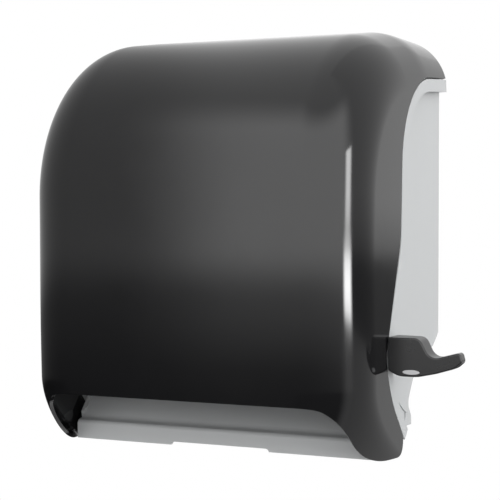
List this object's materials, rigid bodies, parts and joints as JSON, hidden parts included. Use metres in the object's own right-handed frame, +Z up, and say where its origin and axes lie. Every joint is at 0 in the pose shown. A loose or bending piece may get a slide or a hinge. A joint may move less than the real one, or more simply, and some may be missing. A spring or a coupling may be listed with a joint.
{
  "type": "lever paper towel dispenser",
  "caption": "Wall-mounted roll towel dispenser: glossy black hinged cover over a grey chassis, side lever that feeds the towel, tear bar and chute under a front arch.",
  "frame": {"origin": "middle of the four wall screw holes, on the back face", "axes": "+X to the right seen from the front, +Y into the wall, +Z up"},
  "size_m": [0.3347, 0.216, 0.3307],
  "materials": {
    "cover_black": "glossy",
    "body_grey": "fine satin grain",
    "chute_grey": "fine satin grain",
    "rail_grey": "fine satin grain",
    "lever_black": "semi-gloss",
    "inset_grey": "satin",
    "bar_steel": "bright",
    "zinc_steel": "zinc plated",
    "screw_steel": "zinc plated",
    "shaft_steel": "ground",
    "spring_steel": "drawn",
    "lock_nickel": "polished nickel",
    "black_rubber": "matt",
    "grip_rubber": "matt",
    "bearing_plastic": "satin",
    "gear_plastic": "satin",
    "roller_plastic": "satin",
    "yoke_plastic": "satin",
    "arm_plastic": "satin"
  },
  "bodies": {
    "chassis": {"wall_chassis": "body_grey", "towel_chute": "chute_grey", "front_rail": "rail_grey", "tear_bar": "bar_steel", "tear_bar_screws": "screw_steel", "left_bush": "bearing_plastic", "right_bush": "bearing_plastic", "gear_plate": "zinc_steel", "gear_plate_screws": "screw_steel", "pinch_rod": "shaft_steel", "lever_pin": "shaft_steel", "lever_bumper": "black_rubber", "left_arm_pin": "shaft_steel", "right_arm_pin": "shaft_steel", "left_hinge_pin": "shaft_steel", "right_hinge_pin": "shaft_steel"},
    "cover": {"front_cover": "cover_black", "lock_barrel": "lock_nickel", "lock_nut": "zinc_steel"},
    "lock": {"lock_plug": "lock_nickel", "lock_cam": "zinc_steel"},
    "lever_body": {"lever": "lever_black", "lever_inset": "inset_grey", "sector_gear": "gear_plastic", "lever_spring": "spring_steel"},
    "pinion": {"drive_pinion": "gear_plastic"},
    "feed": {"feed_shaft": "shaft_steel", "feed_core": "roller_plastic", "feed_sleeves": "grip_rubber", "clutch_hub": "shaft_steel"},
    "pinch_yoke": {"pinch_frame": "yoke_plastic", "pinch_springs": "spring_steel"},
    "pinch_set": {"pinch_shaft": "shaft_steel", "pinch_rollers": "roller_plastic"},
    "left_arm": {"left_roll_arm": "arm_plastic", "left_arm_spring": "spring_steel"},
    "right_arm": {"right_roll_arm": "arm_plastic", "right_arm_spring": "spring_steel"},
    "left_hub": {"left_roll_hub": "arm_plastic"},
    "right_hub": {"right_roll_hub": "arm_plastic"}
  },
  "joints": [
    {"name": "cover_hinge", "type": "hinge", "parent": "chassis", "child": "cover", "pos_m": [0, -0.121, -0.183], "axis": [1, 0, 0], "range_deg": [0, 95]},
    {"name": "lock_turn", "type": "hinge", "parent": "cover", "child": "lock", "pos_m": [0, -0.028, 0.123], "axis": [0, 0, 1], "range_deg": [0, 90]},
    {"name": "lever_press", "type": "hinge", "parent": "chassis", "child": "lever_body", "pos_m": [0, -0.056, -0.1], "axis": [1, 0, 0], "range_deg": [0, 34], "stiffness_Nm_per_rad": 0.3, "springref_deg": -28.65},
    {"name": "pinion_turn", "type": "hinge", "parent": "chassis", "child": "pinion", "pos_m": [0, -0.11204, -0.1049], "axis": [1, 0, 0], "range_deg": [-137, 0.5]},
    {"name": "feed_turn", "type": "hinge", "parent": "chassis", "child": "feed", "pos_m": [0, -0.11204, -0.1049], "axis": [1, 0, 0], "continuous": true},
    {"name": "pinch_swing", "type": "hinge", "parent": "chassis", "child": "pinch_yoke", "pos_m": [0, -0.062, -0.079], "axis": [1, 0, 0], "range_deg": [0, 8], "stiffness_Nm_per_rad": 0.5, "springref_deg": -17.19},
    {"name": "pinch_spin", "type": "hinge", "parent": "pinch_yoke", "child": "pinch_set", "pos_m": [0, -0.08174, -0.1049], "axis": [1, 0, 0], "continuous": true},
    {"name": "left_arm_swing", "type": "hinge", "parent": "chassis", "child": "left_arm", "pos_m": [-0.11, -0.014, 0.026], "axis": [0, 0, -1], "range_deg": [0, 8], "stiffness_Nm_per_rad": 1, "springref_deg": -8.59},
    {"name": "right_arm_swing", "type": "hinge", "parent": "chassis", "child": "right_arm", "pos_m": [0.11, -0.014, 0.026], "axis": [0, 0, 1], "range_deg": [0, 8], "stiffness_Nm_per_rad": 1, "springref_deg": -8.59},
    {"name": "left_hub_spin", "type": "hinge", "parent": "left_arm", "child": "left_hub", "pos_m": [-0.098, -0.108, 0.026], "axis": [1, 0, 0], "continuous": true},
    {"name": "right_hub_spin", "type": "hinge", "parent": "right_arm", "child": "right_hub", "pos_m": [0.098, -0.108, 0.026], "axis": [1, 0, 0], "continuous": true}
  ],
  "couplings": [
    {"joint": "pinion_turn", "follows": "lever_press", "ratio": -4},
    {"joint": "pinch_spin", "follows": "feed_turn", "ratio": -2}
  ]
}
